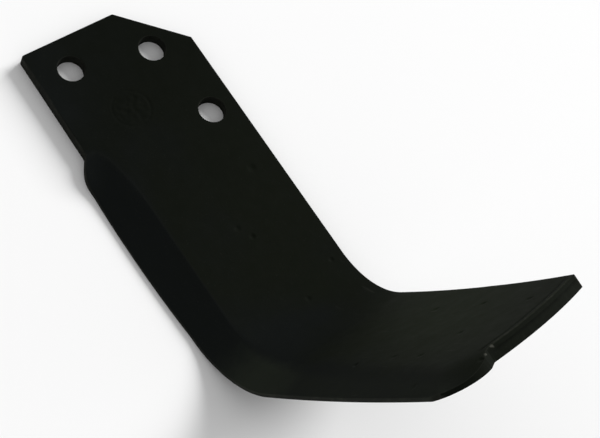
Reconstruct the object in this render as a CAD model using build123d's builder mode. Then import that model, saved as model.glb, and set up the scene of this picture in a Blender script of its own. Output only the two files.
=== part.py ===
from build123d import *
from math import asin, atan, cos, degrees, radians, sin, sqrt, tan
import os

os.makedirs("parts", exist_ok=True)

# Forged bar
bar_thickness = 7.0
bar_width = 89.4
shank_length = 174.65

# Bolting head, with the distances from its outer bolts to the sides
bolt_hole_diameter = 15.0
first_bolt_angle = -24.0
bolt_angle_range = 137.0
bolt_to_back_side = 14.73
bolt_to_cutting_side = 20.67
bolt_to_head_end = 18.24
bolt_to_corner_cut = 13.64
head_narrowing = 0.8
head_corner_radius = 1.6

# Shoulder where the blade steps out beyond the head
shoulder_from_end = 64.7
shoulder_overhang = 7.1
shoulder_run = 10.6
shoulder_radius = 20.0

# Cutting edge along the shank
edge_overhang = 6.0
edge_bulge = 1.3
edge_thickness = 2.2
bevel_inset = 13.7
bevel_runout_start = 105.0
bevel_runout_radius = 125.0

# Bend
bend_inner_radius = 45.0
bend_angle = 62.5
bend_twist = 5.0

# Foot
foot_length = 162.0
foot_camber_radius = 2540.0
back_flare_middle = 1.2
back_flare_end = 7.9
edge_flare_middle = 3.7
edge_flare_end = 6.0
foot_end_bevel_width = 13.0

# Sheared end of the foot, as lengths along the foot and offsets from its back edge
tip_length = 133.3
tip_offset = -7.9
end_middle_length = 146.4
end_middle_offset = 31.0
notch_length = 150.0
notch_offset = 66.8
end_face_lean = 14.0
end_edge_radius = 1.5

# Forged corner of the foot
step_length = 154.6
step_offset = 72.3
corner_length = 157.0
corner_offset = 83.0
corner_start_length = 144.0
corner_start_offset = 101.4
facet_length = 138.0
facet_offset = 86.0
facet_turn = 30.5
facet_slope = 17.0

# Datums of the bar, with the bolt circle centre at the origin and its radius set by the bar width
first_bolt = radians(first_bolt_angle)
middle_bolt = radians(first_bolt_angle + bolt_angle_range / 2)
last_bolt = radians(first_bolt_angle + bolt_angle_range)
bolt_spread = bar_width - bolt_to_back_side - bolt_to_cutting_side
bolt_circle_radius = bolt_spread / (cos(first_bolt) - cos(last_bolt))
cutting_side = bolt_circle_radius * cos(last_bolt) - bolt_to_cutting_side
back_side = cutting_side + bar_width
head_end = bolt_circle_radius * sin(last_bolt) + bolt_to_head_end
corner_reach = bolt_circle_radius * (cos(middle_bolt) + sin(middle_bolt)) + bolt_to_corner_cut * sqrt(2)
head_corner_cut = back_side + head_end - corner_reach
shoulder = head_end - shoulder_from_end
runout_start = head_end - bevel_runout_start
bend_start = head_end - shank_length
bevel_ridge = cutting_side + bevel_inset
edge_side = cutting_side - edge_overhang
shoulder_side = cutting_side - shoulder_overhang
bevel_slope = degrees(atan((bar_thickness - edge_thickness) / (bevel_ridge - edge_side)))
runout_turn = degrees(asin((shoulder - runout_start) / bevel_runout_radius))
edge_middle = edge_side - edge_flare_middle
edge_end = edge_side - edge_flare_end
ridge_end = edge_end + foot_end_bevel_width
ridge_middle = (bevel_ridge + ridge_end) / 2
margin = 2 * bar_width
waste_reach = bar_width / 2

# Planes across the blade at the start of the bend and at the start of the foot
shank_section = Plane.XZ.offset(-bend_start)
twist = radians(bend_twist)
bend_axis = Axis(
    (
        back_side + bend_inner_radius * sin(twist),
        bend_start,
        bar_thickness + bend_inner_radius * cos(twist),
    ),
    (-cos(twist), 0, sin(twist)),
)
bend_turn = Location(bend_axis.position, bend_axis.direction, bend_angle) * Pos(-bend_axis.position)
foot_section = Plane(bend_turn * shank_section.location)
camber_centre = foot_section.from_local_coords((0, bar_thickness + foot_camber_radius, 0))


def section_along_foot(distance):
    camber_angle = degrees(distance / foot_camber_radius)
    camber_turn = Location(camber_centre, -foot_section.x_dir, camber_angle) * Pos(-camber_centre)
    return Plane(camber_turn * foot_section.location)


end_section = section_along_foot(notch_length)
end_plane = Plane(
    origin=end_section.from_local_coords((back_side, 0, 0)),
    x_dir=end_section.z_dir,
    z_dir=end_section.y_dir,
)
end_lean = end_plane.z_dir - end_plane.x_dir * tan(radians(end_face_lean))
end_middle = end_plane.from_local_coords((end_middle_length - notch_length, -end_middle_offset, 0))
end_waste_plane = Plane(
    origin=end_plane.origin - end_lean * bar_thickness,
    x_dir=end_plane.x_dir,
    z_dir=end_plane.z_dir,
)
facet_plane = Plane(
    end_plane.location
    * Pos(facet_length - notch_length, -facet_offset, bar_thickness)
    * Rot(0, 0, -facet_turn)
    * Rot(0, facet_slope, 0)
)


def profile_corners(back, ridge, edge):
    return [
        (back, 0),
        (back, bar_thickness),
        (ridge, bar_thickness),
        (edge, edge_thickness),
        (edge, 0),
    ]


with BuildPart() as tiller_blade:
    # Head and shank as one flat outline
    with BuildSketch():
        with BuildLine():
            step = FilletPolyline(
                (cutting_side, shoulder),
                (shoulder_side, shoulder - shoulder_run),
                (shoulder_side, shoulder - 2 * shoulder_run),
                radius=shoulder_radius,
            )
            blade_edge = SagittaArc(step @ 1, (edge_side, bend_start), -edge_bulge)
            Polyline(
                blade_edge @ 1,
                (back_side, bend_start),
                (back_side, head_end - head_corner_cut),
                (back_side - head_corner_cut, head_end),
                (cutting_side + head_narrowing, head_end),
                step @ 0,
            )
        make_face()
    extrude(amount=bar_thickness)

    # Bevel on the concave face, running out in a curve at the shoulder
    with BuildSketch(Plane.XY.offset(bar_thickness)):
        with BuildLine():
            ridge = Line((bevel_ridge, bend_start - margin), (bevel_ridge, runout_start))
            runout = JernArc(ridge @ 1, ridge % 1, bevel_runout_radius, runout_turn)
            Polyline(
                runout @ 1,
                (cutting_side - margin, shoulder),
                (cutting_side - margin, bend_start - margin),
                ridge @ 0,
            )
        make_face()
    extrude(amount=edge_thickness / 2 - bar_thickness, taper=90 - bevel_slope, mode=Mode.SUBTRACT)

    # Bolt holes on one circle through the head
    with BuildSketch():
        with PolarLocations(
            bolt_circle_radius, 3, first_bolt_angle, bolt_angle_range, endpoint=True
        ):
            Circle(bolt_hole_diameter / 2)
    extrude(amount=bar_thickness, mode=Mode.SUBTRACT)

    # Corners of the head, lightly rounded
    fillet(tiller_blade.edges().filter_by(Axis.Z).group_by(Axis.Y)[-1], head_corner_radius)

    # Bend toward the concave side about a slightly twisted axis
    with BuildSketch(shank_section):
        Polygon(*profile_corners(back_side, bevel_ridge, edge_side), align=None)
    revolve(axis=bend_axis, revolution_arc=bend_angle)

    # Foot, slightly cambered and flaring toward both edges
    with BuildSketch(section_along_foot(0)):
        Polygon(*profile_corners(back_side, bevel_ridge, edge_side), align=None)
    with BuildSketch(section_along_foot(foot_length / 2)):
        Polygon(*profile_corners(back_side + back_flare_middle, ridge_middle, edge_middle), align=None)
    with BuildSketch(section_along_foot(foot_length)):
        Polygon(*profile_corners(back_side + back_flare_end, ridge_end, edge_end), align=None)
    loft()

    # Slope round the forged corner of the foot
    with BuildSketch(facet_plane):
        Rectangle(2 * waste_reach, margin / 2)
    extrude(amount=3 * bar_thickness, mode=Mode.SUBTRACT)

    # Raked end of the foot, with the notch and the forged corner
    with BuildSketch(end_waste_plane):
        with BuildLine():
            end_line = ThreePointArc(
                (tip_length - notch_length, -tip_offset),
                (end_middle_length - notch_length, -end_middle_offset),
                (0, -notch_offset),
            )
            notch = Line(end_line @ 1, (step_length - notch_length, -step_offset))
            corner = ThreePointArc(
                notch @ 1,
                (corner_length - notch_length, -corner_offset),
                (corner_start_length - notch_length, -corner_start_offset),
            )
            Polyline(
                corner @ 1,
                (corner_start_length - notch_length, -margin),
                (waste_reach, -margin),
                (waste_reach, waste_reach),
                (tip_length - notch_length, waste_reach),
                end_line @ 0,
            )
        make_face()
    extrude(amount=3 * bar_thickness, dir=end_lean, mode=Mode.SUBTRACT)

    # Rolled edge of the sheared end, on the concave face
    concave_edge = tiller_blade.edges().sort_by_distance(end_middle + end_lean * bar_thickness)[0]
    fillet(concave_edge, end_edge_radius)

tiller_blade.part.label = "tiller_blade"
export_step(tiller_blade.part, "parts/tiller_blade.step")
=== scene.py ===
from math import atan2, cos, hypot, pi, radians, sin, tan

import bmesh
import bpy
from mathutils import Matrix, Vector, noise


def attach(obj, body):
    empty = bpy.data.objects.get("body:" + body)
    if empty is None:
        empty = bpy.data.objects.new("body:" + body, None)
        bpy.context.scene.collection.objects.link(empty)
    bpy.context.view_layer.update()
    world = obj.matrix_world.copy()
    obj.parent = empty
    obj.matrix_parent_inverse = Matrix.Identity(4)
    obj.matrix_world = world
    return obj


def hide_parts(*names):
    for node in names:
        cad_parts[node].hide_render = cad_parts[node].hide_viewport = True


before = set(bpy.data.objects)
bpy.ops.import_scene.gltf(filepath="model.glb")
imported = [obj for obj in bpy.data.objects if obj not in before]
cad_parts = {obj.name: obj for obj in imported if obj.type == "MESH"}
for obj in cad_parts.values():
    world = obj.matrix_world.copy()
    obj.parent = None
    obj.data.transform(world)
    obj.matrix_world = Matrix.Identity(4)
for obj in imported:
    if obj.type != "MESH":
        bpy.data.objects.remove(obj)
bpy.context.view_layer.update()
print("frame loaded")

scene = bpy.context.scene
mm = 0.001
near = 1e-3  # millimetres within which two heights are the same

# Camera
cameraSettings = {
    "place": (-0.486063, -0.372877, 1.040005),
    "turn": (26.5818, -14.6714, -35.2322),
    "lens": 137.303,
    "reach": 20,
}
cameraData = bpy.data.cameras.new("camera")
cameraData.lens = cameraSettings["lens"]
cameraData.sensor_width = 36
cameraData.clip_end = cameraSettings["reach"]
camera = bpy.data.objects.new("camera", cameraData)
camera.location = cameraSettings["place"]
camera.rotation_euler = [radians(angle) for angle in cameraSettings["turn"]]
scene.collection.objects.link(camera)
scene.camera = camera
scene.view_settings.view_transform = "Standard"
print("camera placed")


# Shader sums: a socket that can be added, multiplied and so on
class Wire:
    def __init__(self, finish, socket):
        self.finish = finish
        self.socket = socket

    def maths(self, operation, *values):
        sockets = dict(enumerate(values))
        return self.finish.wire("ShaderNodeMath", {"operation": operation}, sockets, "Value")

    def __add__(self, other):
        return self.maths("ADD", self, other)

    def __radd__(self, other):
        return self.maths("ADD", other, self)

    def __sub__(self, other):
        return self.maths("SUBTRACT", self, other)

    def __rsub__(self, other):
        return self.maths("SUBTRACT", other, self)

    def __mul__(self, other):
        return self.maths("MULTIPLY", self, other)

    def __rmul__(self, other):
        return self.maths("MULTIPLY", other, self)

    def between(self, low, high):  # 0 at low, 1 at high, smooth in between
        sockets = {"Value": self, "From Min": low, "From Max": high}
        settings = {"interpolation_type": "SMOOTHSTEP"}
        return self.finish.wire("ShaderNodeMapRange", settings, sockets, "Result")


class Finish:
    def __init__(self, name):
        self.material = bpy.data.materials.new(name)
        self.material.use_nodes = True
        self.tree = self.material.node_tree
        self.shader = self.tree.nodes["Principled BSDF"]

    def node(self, kind, settings, sockets):
        made = self.tree.nodes.new(kind)
        for name, value in settings.items():
            setattr(made, name, value)
        for name, value in sockets.items():
            self.feed(made.inputs[name], value)
        return made

    def wire(self, kind, settings, sockets, output):
        return Wire(self, self.node(kind, settings, sockets).outputs[output])

    def feed(self, socket, value):
        if isinstance(value, Wire):
            self.tree.links.new(value.socket, socket)
        else:
            socket.default_value = value

    def mix(self, factor, first, second):  # colours
        made = self.node("ShaderNodeMix", {"data_type": "RGBA"}, {"Factor": factor})
        self.feed(made.inputs[6], first)
        self.feed(made.inputs[7], second)
        return Wire(self, made.outputs[2])

    def grain(self, place, scale, detail=2.0, roughness=0.5):  # soft noise
        sockets = {"Vector": place, "Scale": scale, "Detail": detail, "Roughness": roughness}
        return self.wire("ShaderNodeTexNoise", {}, sockets, "Fac")

    def attribute(self, name):
        return self.wire("ShaderNodeAttribute", {"attribute_name": name}, {}, "Fac")


# The blade's blank, flat and in millimetres, with the bolt circle's centre at the origin
blank = {
    "thickness": 7.0,
    "cuttingSide": -36.85,
    "backSide": 52.55,
    "headEnd": 56.35,
    "headCornerCut": 31.1,
    "headNarrowing": 0.8,
    "headCornerRadius": 1.6,
    "bolts": [(37.82, -16.84), (29.53, 29.02), (-16.18, 38.11)],
    "boltHole": 15.0,
    "shoulder": -8.35,
    "shoulderRun": 10.6,
    "shoulderSide": -43.95,
    "shoulderRadius": 20.0,
    "edgeSide": -42.85,
    "edgeBulge": 1.3,
    "bendStart": -118.3,
    "bendTurn": 62.5,
    "bendTwist": 5.0,
    "bendRadius": 45.0,
    "footLength": 162.0,
    "footCamber": 2540.0,
    "backFlare": (1.2, 7.84),  # halfway along the foot, and at its full length
    "edgeFlare": (3.7, 6.0),
    "tip": (133.3, 60.45),  # along the foot, and across the blade
    "endMiddle": (146.4, 21.55),
    "notch": (150.0, -14.25),
    "step": (154.6, -19.75),
    "corner": (157.0, -30.45),
    "cornerStart": (144.0, -48.4),
    "endLean": 14.0,
    "endRoll": 2.2,
    "rim": 0.45,
    "rimAngle": 28,  # edges sharper than this are rounded
    "boltRim": 0.35,
    "boltSteps": 64,
    "grid": 2.0,
    "gridAcross": (-54, 62),
    "gridAlongFoot": 160,
}
bendLength = radians(blank["bendTurn"]) * (blank["bendRadius"] + blank["thickness"] / 2)
footStart = blank["bendStart"] - bendLength  # the blank's y where the foot begins


def flare(settings, along):  # a parabola from nothing at the bend
    middle, end = settings
    half = blank["footLength"] / 2
    return along / half * (2 * middle - end / 2) + (along / half) ** 2 * (end / 2 - middle)


def backAt(y):
    along = max(0.0, footStart - y)
    return blank["backSide"] + flare(blank["backFlare"], along)


def edgeAt(y):
    along = max(0.0, footStart - y)
    return blank["edgeSide"] - flare(blank["edgeFlare"], along)


def circleCentre(first, middle, last):
    (ax, ay), (bx, by), (cx, cy) = first, middle, last
    d = 2 * (ax * (by - cy) + bx * (cy - ay) + cx * (ay - by))
    a2, b2, c2 = ax * ax + ay * ay, bx * bx + by * by, cx * cx + cy * cy
    across = (a2 * (by - cy) + b2 * (cy - ay) + c2 * (ay - by)) / d
    along = (a2 * (cx - bx) + b2 * (ax - cx) + c2 * (bx - ax)) / d
    return Vector((across, along))


def arcThrough(first, middle, last, steps):  # points on the circle through three, first and last included
    centre = circleCentre(first, middle, last)
    start, through, sweep = [atan2(y - centre.y, x - centre.x) for x, y in (first, middle, last)]
    through = (through - start) % (2 * pi)
    sweep = (sweep - start) % (2 * pi)
    if through > sweep:
        sweep -= 2 * pi
    radius = (Vector(first) - centre).length
    turns = [start + sweep * i / steps for i in range(steps + 1)]
    return [(centre.x + radius * cos(turn), centre.y + radius * sin(turn)) for turn in turns]


def roundedCorner(before, corner, after, radius, steps):
    corner = Vector(corner)
    comes = (Vector(before) - corner).normalized()
    goes = (Vector(after) - corner).normalized()
    half = comes.angle(goes) / 2
    middle = corner + (comes + goes).normalized() * radius * (1 / sin(half) - 1)
    reach = radius / tan(half)
    return arcThrough(corner + comes * reach, middle, corner + goes * reach, steps)


def footPoint(point):
    return point[1], footStart - point[0]


endPoints = [footPoint(blank[name]) for name in ("notch", "endMiddle", "tip")]
endCentre = circleCentre(*endPoints)
endRadius = (Vector(endPoints[0]) - endCentre).length


def blankOutline():
    b = blank
    shoulder = (b["cuttingSide"], b["shoulder"])
    outward = (b["shoulderSide"], b["shoulder"] - b["shoulderRun"])
    edgeTop = (b["shoulderSide"], b["shoulder"] - 2 * b["shoulderRun"])
    outline = [shoulder] + roundedCorner(shoulder, outward, edgeTop, b["shoulderRadius"], 8)
    edgeEnd = (b["edgeSide"], b["bendStart"])
    chord = Vector(edgeEnd) - Vector(edgeTop)
    bulge = (Vector(edgeTop) + Vector(edgeEnd)) / 2 - chord.orthogonal().normalized() * b["edgeBulge"]
    outline += arcThrough(edgeTop, bulge, edgeEnd, 12)
    footY = [footStart - b["cornerStart"][0] * i / 10 for i in range(11)]
    outline += [(edgeAt(y), y) for y in footY]
    outline += arcThrough(*[footPoint(b[name]) for name in ("cornerStart", "corner", "step")], 12)[1:]
    endLine = arcThrough(*endPoints, 200)
    inside = [point for point in endLine if point[0] < backAt(point[1])]
    outline += arcThrough(inside[0], inside[len(inside) // 2], inside[-1], 14)
    tipY = inside[-1][1]
    outline += [(backAt(y), y) for y in [tipY + (footStart - tipY) * i / 10 for i in range(11)]]
    cutStart = (b["backSide"], b["headEnd"] - b["headCornerCut"])
    cutEnd = (b["backSide"] - b["headCornerCut"], b["headEnd"])
    headCorner = (b["cuttingSide"] + b["headNarrowing"], b["headEnd"])
    outline.append(cutStart)
    outline += roundedCorner(cutStart, cutEnd, headCorner, b["headCornerRadius"], 4)
    outline += roundedCorner(cutEnd, headCorner, shoulder, b["headCornerRadius"], 6)
    return outline


def gridLines(low, high, step):
    return [low + step * i for i in range(1, int((high - low) / step) + 1)]


bm = bmesh.new()


def cutAcross(parts, point, direction):  # an edge line across the given parts
    bmesh.ops.bisect_plane(bm, geom=parts, dist=1e-4, plane_co=point, plane_no=direction)


def everyPart():
    return bm.verts[:] + bm.edges[:] + bm.faces[:]


def partsOf(faces):
    return list(dict.fromkeys(part for face in faces for part in (face, *face.edges, *face.verts)))


def settle(decimals=3):  # makes the same faces again in a fixed order, as Blender's own varies each run
    rows = []  # with the normals as they are, because the rounding of the rims goes by them
    for face in bm.faces:
        places = [tuple(round(value, decimals) for value in vert.co) for vert in face.verts]
        first = places.index(min(places))
        rows.append((places[first:] + places[:first], face.normal[:], face.tag))
    bm.clear()
    everyPlace = {place for places, normal, tag in rows for place in places}
    verts = {place: bm.verts.new(place) for place in sorted(everyPlace)}
    for places, normal, tag in sorted(rows):
        face = bm.faces.new([verts[place] for place in places])
        face.normal, face.tag = normal, tag


corners = [bm.verts.new((x, y, 0)) for x, y in blankOutline()]
for i, vert in enumerate(corners):
    bm.edges.new((vert, corners[(i + 1) % len(corners)]))
bmesh.ops.edgeloop_fill(bm, edges=bm.edges[:])
extruded = bmesh.ops.extrude_face_region(bm, geom=bm.faces[:])
topVerts = [part for part in extruded["geom"] if isinstance(part, bmesh.types.BMVert)]
bmesh.ops.translate(bm, verts=topVerts, vec=(0, 0, blank["thickness"]))
bmesh.ops.recalc_face_normals(bm, faces=bm.faces[:])
settle()
print("blank cut:", len(bm.verts), "points")

# The end leans, so its upper edge is moved along the foot
leanRun = tan(radians(blank["endLean"])) * blank["thickness"]
endTop = footStart - blank["tip"][0] + 1
for vert in bm.verts:
    if vert.co.z > near and vert.co.y < endTop:
        vert.co.y += leanRun


def isTop(part):
    return min(vert.co.z for vert in part.verts) > blank["thickness"] - near


def isFlatSide(face):
    return abs(face.normal.z) > 0.99999


def isRim(edge):
    return edge.calc_face_angle(0) > radians(blank["rimAngle"])


def isEndRim(edge):  # the end's upper edge, from the tip to the notch
    middle = (edge.verts[0].co + edge.verts[1].co) / 2
    atEnd = middle.y < endTop + leanRun and blank["notch"][1] < middle.x < backAt(middle.y) - 0.3
    return isTop(edge) and atEnd


def roundRims(edges, size, steps):
    made = bmesh.ops.bevel(
        bm, geom=edges, offset=size, offset_type="OFFSET", segments=steps, profile=0.5,
        affect="EDGES", clamp_overlap=False, material=-1,
    )
    return made["faces"]


for face in roundRims([edge for edge in bm.edges if isRim(edge) and isEndRim(edge)], blank["endRoll"], 4):
    face.tag = True
settle()
unrolled = [edge for edge in bm.edges if isRim(edge) and not any(face.tag for face in edge.link_faces)]
roundRims(unrolled, blank["rim"], 3)
settle()

# Bolt holes, each a spun wall between two flat sides that are filled again around it
sides = [face for face in bm.faces if isFlatSide(face) and len(face.verts) > 50]
bmesh.ops.delete(bm, geom=sides, context="FACES_ONLY")
for x, y in blank["bolts"]:
    turns = [radians(90 * i / 3) for i in range(4)]
    lower = [(blank["boltRim"] * (1 - sin(turn)), blank["boltRim"] * (1 - cos(turn))) for turn in turns]
    upper = [(out, blank["thickness"] - up) for out, up in reversed(lower)]
    wall = [bm.verts.new((x + blank["boltHole"] / 2 + out, y, up)) for out, up in lower + upper]
    wallEdges = [bm.edges.new(pair) for pair in zip(wall, wall[1:])]
    bmesh.ops.spin(
        bm, geom=wall + wallEdges, cent=(x, y, 0), axis=(0, 0, 1), angle=2 * pi,
        steps=blank["boltSteps"], use_merge=True,
    )
settle()
for height in (0, blank["thickness"]):
    side = [
        edge for edge in bm.edges
        if edge.is_boundary and max(abs(vert.co.z - height) for vert in edge.verts) < near
    ]
    bmesh.ops.triangle_fill(bm, use_beauty=True, use_dissolve=False, edges=side)
bmesh.ops.recalc_face_normals(bm, faces=bm.faces[:])
bm.normal_update()
seam = bm.edges.layers.int.new("seam")
for edge in bm.edges:  # what the fill left on the two flat sides
    edge[seam] = int(all(isFlatSide(face) for face in edge.link_faces))
print("rims rounded:", len(bm.verts), "points")

# What the dies press into the concave face
press = {
    "ridge": -23.15,  # where the cutting bevel starts
    "ridgeEnd": -35.85,  # the same at the end of the foot
    "edgeThickness": 2.2,
    "runoutStart": -48.65,
    "runoutRadius": 125.0,
    "cornerAlong": 138.0,  # the slope round the forged corner
    "cornerAcross": -33.45,
    "cornerTurn": 30.5,
    "cornerSlope": 17.0,
    "softness": 0.7,  # half the width of the rounded ridge
    "runoutSoftness": 2.6,  # added at the runout
    "runoutBlend": 7.0,
    "footSoftness": 7.3,  # added over the bend and the foot
    "cornerSoftness": 7.0,
    "creaseBlend": 0.8,  # how far the bevel and the corner's slope run into each other
    "wave": 0.10,  # forging waviness
    "waveLength": 26.0,
    "markPlace": (-0.7, 3.5),  # a plain round press mark on the head
    "markRadius": 10.5,
    "markRing": 1.2,  # half the width of its ring
    "markDepth": 0.20,
    "markRough": 0.22,  # worn roughness inside the mark
    "shearStep": 0.7,  # rows of edges down the sheared end
    "grooveHeight": 4.2,  # line left by the shear
    "grooveDepth": 0.55,
    "creaseInset": 3.6,  # line along the rolled edge, on the concave face
    "creaseDepth": 0.30,
    "creaseWidth": 1.3,
    "tear": 0.45,  # roughness of the sheared end
    "dents": [  # across, down the blank, radius, depth
        (14.7, -88.7, 2.1, 0.47), (19.5, -132.8, 2.0, 0.41), (44.5, -119.8, 1.8, 0.41),
        (37.1, -55.4, 3.1, 0.41), (10.2, -81.2, 2.3, 0.34), (-22.6, -225.5, 2.1, 0.54),
        (31.2, -225.5, 2.9, 0.34), (34.2, -260.8, 2.3, 0.34), (35.1, -295.4, 2.6, 0.41),
        (4.8, -277.3, 2.3, 0.34), (-16.2, -271.1, 2.5, 0.34), (-15.9, -249.6, 2.1, 0.34),
        (-41.3, -295.2, 2.3, 0.34), (-20.9, -322.5, 2.0, 0.41),
    ],
}

# A grid of edges, to press and bend the blank by
for x in gridLines(*blank["gridAcross"], blank["grid"]):
    cutAcross(everyPart(), (x, 0, 0), (1, 0, 0))
lastRow = footStart - blank["gridAlongFoot"]
for y in gridLines(lastRow, blank["headEnd"], blank["grid"]):
    cutAcross(everyPart(), (0, y, 0), (0, 1, 0))
bmesh.ops.dissolve_edges(bm, edges=[edge for edge in bm.edges if edge[seam]], use_verts=True)
bmesh.ops.remove_doubles(bm, verts=bm.verts[:], dist=0.03)


def isSheared(part, y):  # on the end face of the foot
    return y < endTop + 3 and part.normal.y < -0.6


bm.normal_update()
for height in gridLines(0, press["grooveHeight"] + 1, press["shearStep"]):
    endFaces = [face for face in bm.faces if isSheared(face, face.calc_center_median().y)]
    cutAcross(partsOf(endFaces), (0, 0, height), (0, 0, 1))
print("grid laid:", len(bm.verts), "points")

bevelSlope = (blank["thickness"] - press["edgeThickness"]) / (press["ridge"] - blank["edgeSide"])
cornerPoint = Vector((press["cornerAcross"], footStart - press["cornerAlong"]))
cornerDown = Vector((-sin(radians(press["cornerTurn"])), -cos(radians(press["cornerTurn"]))))


def ridgeAt(y):
    if y > press["runoutStart"]:
        up = min(y, blank["shoulder"]) - press["runoutStart"]
        return press["ridge"] - press["runoutRadius"] + (press["runoutRadius"] ** 2 - up * up) ** 0.5
    share = max(0.0, footStart - y) / blank["footLength"]
    return press["ridge"] + (press["ridgeEnd"] - press["ridge"]) * share


def ramp(value, low, high):
    return min(1.0, max(0.0, (value - low) / (high - low)))


def bendShare(y):  # 0 where the bend begins and 1 where the foot does
    return (blank["bendStart"] - y) / bendLength


def soft(distance, width):  # a ramp from zero with its foot rounded off
    if distance < -width:
        return 0.0
    return distance if distance > width else (distance + width) ** 2 / (4 * width)


def bump(width, distance):  # what rounds off the meeting of two slopes, at a distance from it
    return max(0.0, width - abs(distance)) ** 2 / (4 * width)


def bevelReach(x, y):  # how far a point is beyond the ridge
    if y > press["runoutStart"]:
        centre = press["ridge"] - press["runoutRadius"]
        reach = press["runoutRadius"] - hypot(x - centre, y - press["runoutStart"])
        below = blank["shoulder"] - y
        return min(reach, below) - bump(press["runoutBlend"], reach - below)
    return ridgeAt(y) - x


def ridgeWidth(y):  # half the width of the rounded ridge, wider at the runout and over the bend
    atRunout = ramp(y, press["runoutStart"] - 15, blank["shoulder"])
    width = press["softness"] + press["runoutSoftness"] * atRunout
    return width + press["footSoftness"] * ramp(bendShare(y), 0.0, 1.1)


def pressedDepth(x, y):
    slope = bevelSlope
    if y < footStart:
        slope = (blank["thickness"] - press["edgeThickness"]) / (ridgeAt(y) - edgeAt(y))
    cornerReach = (Vector((x, y)) - cornerPoint).dot(cornerDown)
    cornerDepth = tan(radians(press["cornerSlope"])) * soft(cornerReach, press["cornerSoftness"])
    bevelDepth = slope * soft(bevelReach(x, y), ridgeWidth(y))
    blend = bump(press["creaseBlend"], bevelDepth - cornerDepth) * min(1.0, cornerDepth, bevelDepth) ** 2
    return max(bevelDepth, cornerDepth) + blend


def fromEnd(x, y):  # how far a point of the concave face is from the end's upper edge
    if x < blank["notch"][1] or y > endTop + 20:
        return blank["footLength"]
    return abs((Vector((x, y - leanRun)) - endCentre).length - endRadius)


def fromMark(x, y):
    return hypot(x - press["markPlace"][0], y - press["markPlace"][1])


def dentDepth(x, y):  # with the press mark and the crease
    depth = 0.0
    for across, down, radius, deep in press["dents"]:
        away = hypot(x - across, y - down) / radius
        if away < 1:
            depth += deep * (1 - away * away) ** 2
    fromRing = (fromMark(x, y) - press["markRadius"]) / press["markRing"]
    if abs(fromRing) < 1:
        worn = 0.5 + 0.5 * noise.noise(Vector((x, y, 3.0)) * 0.35)
        depth += press["markDepth"] * (1 - fromRing * fromRing) ** 2 * worn
    inside = 1 - fromMark(x, y) / press["markRadius"]
    if inside > 0:
        depth += press["markRough"] * min(1, 3 * inside) * noise.noise(Vector((x, y, 8.0)) * 0.36)
    return depth + press["creaseDepth"] * creaseShare(x, y)


def creaseShare(x, y):  # the line along the rolled edge, on the concave face
    away = (fromEnd(x, y) - press["creaseInset"]) / press["creaseWidth"]
    return (1 - away * away) ** 2 if abs(away) < 1 else 0.0


def grooveShare(x, y, z):  # the line along the sheared end
    share = max(0.0, 1 - abs(z - press["grooveHeight"]) / press["shearStep"])
    return share * ramp(x, blank["notch"][1], blank["notch"][1] + 3) * ramp(backAt(y) - x, 0.5, 4)


def tearDepth(x, y, z):  # how far the sheared end is torn back
    rough = max(0.0, noise.fractal(Vector((x, z * 1.5, 20.0)) * 0.3, 0.6, 2.0, 3))
    lumps = press["tear"] * rough * (1 - z / blank["thickness"])
    return press["grooveDepth"] * grooveShare(x, y, z) + lumps


def waveAt(x, y, side):
    return press["wave"] * noise.fractal(Vector((x, y, side)) / press["waveLength"], 0.6, 2.0, 3)


def ridgePoint(y, shift):
    return Vector((ridgeAt(y) - shift, y, 0))


def creasePoint(x, shift):
    reach = endRadius - press["creaseInset"] + shift
    return Vector((x, endCentre.y + leanRun - (reach ** 2 - (x - endCentre.x) ** 2) ** 0.5, 0))


def besideRidge(place):
    return abs(place.x - ridgeAt(place.y)) < 2 * blank["grid"] and place.y < blank["shoulder"]


def besideCrease(place):
    return abs(fromEnd(place.x, place.y) - press["creaseInset"]) < 2 * blank["grid"]


def cutAlong(curve, beside, axis, start, shift):  # an edge line along a curve, one grid step at a time
    strips = {}
    for face in bm.faces:
        place = face.calc_center_median()
        if isTop(face) and beside(place):
            strips.setdefault(int((place[axis] - start) // blank["grid"]), []).append(face)
    for strip, faces in strips.items():
        point = curve(start + strip * blank["grid"], shift)
        along = curve(start + (strip + 1) * blank["grid"], shift) - point
        cutAcross(partsOf(faces), point, (along.y, -along.x, 0))


# Edge lines along the ridge, round the corner and along the crease, so that all stay smooth
for shift in (-press["softness"], 0, press["softness"]):
    cutAlong(ridgePoint, besideRidge, 1, lastRow, shift)
    corner = [face for face in bm.faces if isTop(face) and face.calc_center_median().y < cornerPoint.y + 10]
    cutAcross(partsOf(corner), (*(cornerPoint + cornerDown * shift), 0), (*cornerDown, 0))
for step in range(-2, 3):
    cutAlong(creasePoint, besideCrease, 0, 0, step / 2 * press["creaseWidth"])


def nearDetail(x, y):
    if fromMark(x, y) < press["markRadius"] + 2.5:
        return True
    return any(hypot(x - across, y - down) < radius + 0.8 for across, down, radius, deep in press["dents"])


detailed = [face for face in bm.faces if isTop(face) and nearDetail(*face.calc_center_median().xy)]
fine = list(dict.fromkeys(edge for face in detailed for edge in face.edges))
bmesh.ops.subdivide_edges(bm, edges=fine, cuts=3, use_grid_fill=True)
print("ridge cut:", len(bm.verts), "points")

# Bending
bendAxis = Vector((-cos(radians(blank["bendTwist"])), 0, sin(radians(blank["bendTwist"]))))
bendCentre = Vector((
    blank["backSide"] + blank["bendRadius"] * sin(radians(blank["bendTwist"])),
    blank["bendStart"],
    blank["thickness"] + blank["bendRadius"] * cos(radians(blank["bendTwist"])),
))


def turnAbout(centre, axis, angle):
    return Matrix.Translation(centre) @ Matrix.Rotation(angle, 4, axis) @ Matrix.Translation(-centre)


fullTurn = turnAbout(bendCentre, bendAxis, radians(blank["bendTurn"]))
footAcross = fullTurn.to_3x3() @ Vector((1, 0, 0))
footUp = fullTurn.to_3x3() @ Vector((0, 0, 1))
footRoot = fullTurn @ Vector((0, blank["bendStart"], 0))
camberCentre = footRoot + footUp * (blank["thickness"] + blank["footCamber"])


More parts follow.
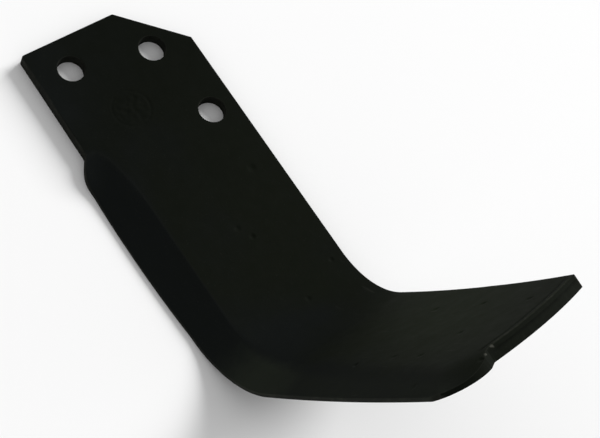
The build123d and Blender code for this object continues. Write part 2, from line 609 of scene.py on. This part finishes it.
def bent(point):
    if point.y >= blank["bendStart"]:
        return point
    down = blank["bendStart"] - point.y
    atBend = Vector((point.x, blank["bendStart"], point.z))
    if down <= bendLength:
        return turnAbout(bendCentre, bendAxis, radians(blank["bendTurn"]) * down / bendLength) @ atBend
    camberTurn = turnAbout(camberCentre, -footAcross, (down - bendLength) / blank["footCamber"])
    return camberTurn @ fullTurn @ atBend


# What the paint reads: wear, painted light and painted shade at each point, and the flat blank as a map
wear = {
    "ridge": 0.22,  # paint rubbed along the ridge
    "bendMiddle": 0.55,
    "bendReach": 0.75,
    "rubbedIn": (0.15, 0.75),  # where the rubbed bevel with its painted light fades in and half out, as shares of the bend
    "rubbedOut": (0.85, 1.4),
    "down": (0.25, 160, 260),  # start, length along and length across
}
layers = {}
for name in ("pressed", "rim", "sheared", "lineShade", "bendZone", "rubbedAndLit", "down"):
    layers[name] = bm.verts.layers.float.new(name)
patternMap = bm.loops.layers.uv.new("blankMap")
for face in bm.faces:
    for loop in face.loops:
        loop[patternMap].uv = loop.vert.co.xy * mm


def wearAt(x, y, height, flat, sheared):
    onRidge = max(0.0, 1 - abs(bevelReach(x, y))) * ramp(y, blank["bendStart"] - 15, blank["bendStart"])
    pressed = ramp(bevelReach(x, y), -ridgeWidth(y), ridgeWidth(y)) * height
    inBend = bendShare(y)
    # painted shade: darker along the crease on the concave face and along the sheared end's groove
    lineShade = grooveShare(x, y, height * blank["thickness"]) if sheared else creaseShare(x, y) * (height > 0.9)
    start, lengthDown, lengthAcross = wear["down"]
    return {
        "pressed": pressed,
        "rim": wear["ridge"] * onRidge * height if flat else 1.0,
        "sheared": float(sheared),
        "lineShade": lineShade,
        "bendZone": max(0.0, 1 - abs(inBend - wear["bendMiddle"]) / wear["bendReach"]),
        # the bevel lighter over the bend and foot: rubbed paint, and painted light
        "rubbedAndLit": pressed * (ramp(inBend, *wear["rubbedIn"]) - 0.5 * ramp(inBend, *wear["rubbedOut"])),
        "down": start - y / lengthDown + x / lengthAcross,
    }


bm.normal_update()
places = []
rimHeight = blank["rim"] * 1.01  # just above the rounded rim
for vert in bm.verts:
    x, y, z = vert.co
    height = z / blank["thickness"]
    flat = abs(vert.normal.z) > 0.985
    sheared = isSheared(vert, y)
    for name, share in wearAt(x, y, height, flat, sheared).items():
        vert[layers[name]] = share
    depth = pressedDepth(x, y)
    if z > blank["thickness"] - rimHeight:
        z -= depth
    elif z > rimHeight:
        z -= depth * (z - rimHeight) / (blank["thickness"] - 2 * rimHeight)
    if flat and height > 0.5:
        z += waveAt(x, y, 5.0) - dentDepth(x, y)
    elif flat:
        z += abs(waveAt(x, y, 40.0))
    if sheared and z > blank["rim"] * 1.5 and x > blank["notch"][1] - 1:
        y += tearDepth(x, y, z)
    places.append(bent(Vector((x, y, z))) * mm)
for vert, place in zip(bm.verts, places):
    vert.co = place
bmesh.ops.triangulate(bm, faces=[face for face in bm.faces if len(face.verts) > 4])
bmesh.ops.recalc_face_normals(bm, faces=bm.faces[:])

bladeMesh = bpy.data.meshes.new("blade")
bm.to_mesh(bladeMesh)
bm.free()
bladeMesh.shade_smooth()
blade = bpy.data.objects.new("blade", bladeMesh)
scene.collection.objects.link(blade)
evenShade = blade.modifiers.new("evenShade", "WEIGHTED_NORMAL")
evenShade.keep_sharp = False
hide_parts("tiller_blade")
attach(blade, "root")
print("blade bent:", len(bladeMesh.polygons), "faces")

# Paint
paintSettings = {
    "head": (0.0028, 0.0037, 0.0022, 1),
    "bend": (0.0042, 0.0054, 0.0031, 1),
    "cold": (0.0047, 0.0057, 0.0058, 1),
    # dust, and a painted highlight on the foot
    "dustAndHighlight": (0.0066, 0.0092, 0.0044, 1),
    # rubbed bevel paint, also painted light
    "rubbedAndLit": (0.0125, 0.0150, 0.0110, 1),
    # bare metal for scratches and specks, also painted light on walls and rims
    "bareAndRimLight": (0.070, 0.072, 0.060, 1),
    # chipped paint, painted bright as glints
    "chipGlint": (0.048, 0.048, 0.040, 1),
    # painted shade colour for the crease and the groove lines
    "lineShade": (0.0016, 0.0022, 0.0013, 1),
    "gloss": 0.030,
    "roughness": 0.80,
    "roughnessSpread": 0.2,
    "clouds": (24, 3),  # scale and detail of each noise
    "mottle": (150, 4, 0.6),
    "grit": (1100, 2),
    "scratch": (420, 2),
    "chipRagged": (500, 1),
    "scratchStretch": (1, 0.12, 1),
    "left": (0.035, -0.040),  # metres across, from none to all
    "coldShare": 0.8,
    "coldFootLoss": 0.5,
    "rimLightShare": 0.12,
    "wornAndRimLightShare": 0.12,
    "shearedShadeShare": 0.55,
    "lineShadeShare": 0.75,
    "scratchShare": 0.07,
    "gritShare": 0.06,
    "chipGlintShare": 0.8,
    "chipGlints": ((149.6, -10.6), (152.6, -17.2)),  # chipped paint painted bright as glints: down the foot and across, by the notch
    "chipDepth": 0.5,  # millimetres below the concave face
    "chipFall": 520,
    "relief": {"Strength": 0.3, "Distance": 0.0006},
}
paint = Finish("blackPaint")
place = paint.wire("ShaderNodeTexCoord", {}, {}, "Object")
pressed, rim, sheared, bendZone, down, rubbedAndLit, lineShade = [
    paint.attribute(name) for name in ("pressed", "rim", "sheared", "bendZone", "down", "rubbedAndLit", "lineShade")
]
clouds = paint.grain(place, *paintSettings["clouds"])
mottle = paint.grain(place, *paintSettings["mottle"])
grit = paint.grain(place, *paintSettings["grit"])
left = paint.wire("ShaderNodeSeparateXYZ", {}, {"Vector": place}, "X").between(*paintSettings["left"])
blankMap = paint.wire("ShaderNodeUVMap", {"uv_map": "blankMap"}, {}, "UV")
stretch = {"Vector": blankMap, "Scale": paintSettings["scratchStretch"]}
scratches = paint.grain(paint.wire("ShaderNodeMapping", {}, stretch, "Vector"), *paintSettings["scratch"])

cold = (pressed * 0.5 + bendZone * 0.4 + left * 0.55 + (clouds - 0.5) * 1.3).between(0.05, 0.95)
coldShare = paintSettings["coldShare"] - down.between(1.7, 2.3) * paintSettings["coldFootLoss"]
# lighter patch on the foot towards its back edge: dust, and a painted highlight where the foot catches the
# light
dustAndHighlight = (down.between(1.3, 1.8) - down.between(1.9, 2.4) * 0.9) * (1 - left) * (1 - sheared)
# lighter bevel in the bend and foot: rubbed paint, and painted light where the bevel faces the light
rubbedAndLitBevel = (rubbedAndLit * 1.2 + (mottle - 0.5) * 0.5).between(0.15, 1.1)
# worn rims in patches, also painted light on the rims and walls
worn = (rim * 0.7 + (mottle - 0.5) * 1.3).between(0.62, 0.95)
scratched = scratches.between(0.66, 0.74) * down.between(0.9, 1.5)
coats = [  # share and colour, each over those before it
    (cold * coldShare, "cold"),
    (dustAndHighlight, "dustAndHighlight"),
    (rubbedAndLitBevel, "rubbedAndLit"),
    # walls and rounded rims lightened: painted light where they lie in shade; rubbed paint along the ridge
    (rim * (1 - sheared) * paintSettings["rimLightShare"], "bareAndRimLight"),
    (worn * (1 - sheared * 0.75) * paintSettings["wornAndRimLightShare"], "bareAndRimLight"),
    # painted shade: the sheared end made darker than the light falling on it leaves it
    (sheared * paintSettings["shearedShadeShare"], "head"),
    # painted shade along the crease and the groove
    (lineShade * (paintSettings["lineShadeShare"] + (mottle - 0.5) * 0.6), "lineShade"),
    (scratched * paintSettings["scratchShare"], "bareAndRimLight"),
    (grit.between(0.66, 0.78) * paintSettings["gritShare"], "bareAndRimLight"),
]
# chipped paint by the notch, painted bright as glints
for along, across in paintSettings["chipGlints"]:
    height = blank["thickness"] - paintSettings["chipDepth"]
    chipGlintPlace = bent(Vector((across, footStart - along + leanRun, height))) * mm
    away = paint.wire("ShaderNodeVectorMath", {"operation": "DISTANCE"}, {0: place, 1: chipGlintPlace}, "Value")
    ragged = (paint.grain(place, *paintSettings["chipRagged"]) - 0.5) * 1.4
    chipGlint = (1 - away * paintSettings["chipFall"] + ragged).between(0.3, 0.6)
    coats.append((chipGlint * paintSettings["chipGlintShare"], "chipGlint"))
# lighter from the head towards the bend and foot: dustier there, and partly painted light for the foot's
# brighter lighting
colour = paint.mix(down.between(0.0, 1.0), paintSettings["head"], paintSettings["bend"])
for share, name in coats:
    colour = paint.mix(share, colour, paintSettings[name])
paint.feed(paint.shader.inputs["Base Color"], colour)
roughness = paintSettings["roughness"] + paintSettings["roughnessSpread"] * (mottle - 0.5)
paint.feed(paint.shader.inputs["Roughness"], roughness)
paint.shader.inputs["Specular IOR Level"].default_value = paintSettings["gloss"]
relief = {"Height": mottle * 0.5 + grit * 0.15, **paintSettings["relief"]}
paint.feed(paint.shader.inputs["Normal"], paint.wire("ShaderNodeBump", {}, relief, "Normal"))
bladeMesh.materials.append(paint.material)
print("paint mixed")

# Floor
floorSettings = {"half": 6, "white": (0.89, 0.89, 0.89, 1), "roughness": 0.9, "gloss": 0.1}
floorBm = bmesh.new()
bmesh.ops.create_grid(floorBm, x_segments=1, y_segments=1, size=floorSettings["half"])
floorMesh = bpy.data.meshes.new("floor")
floorBm.to_mesh(floorMesh)
floorBm.free()
floor = bpy.data.objects.new("floor", floorMesh)
scene.collection.objects.link(floor)
floorFinish = Finish("floorWhite")
floorFinish.shader.inputs["Base Color"].default_value = floorSettings["white"]
floorFinish.shader.inputs["Roughness"].default_value = floorSettings["roughness"]
floorFinish.shader.inputs["Specular IOR Level"].default_value = floorSettings["gloss"]
floorMesh.materials.append(floorFinish.material)

# Light
lightSettings = {
    "world": 0.52,
    "place": (13.8, 1.2, 6.6),
    "size": 7.5,
    "power": 3320,
}
world = bpy.data.worlds.new("studio")
scene.world = world
world.use_nodes = True
background = world.node_tree.nodes["Background"]
background.inputs["Color"].default_value = (1, 1, 1, 1)
background.inputs["Strength"].default_value = lightSettings["world"]
lampData = bpy.data.lights.new("key", "AREA")
lampData.shape = "SQUARE"
lampData.size = lightSettings["size"]
lampData.energy = lightSettings["power"]
lamp = bpy.data.objects.new("key", lampData)
lamp.location = lightSettings["place"]
lamp.rotation_euler = Vector(lightSettings["place"]).to_track_quat("Z", "Y").to_euler()
scene.collection.objects.link(lamp)
print("studio lit")
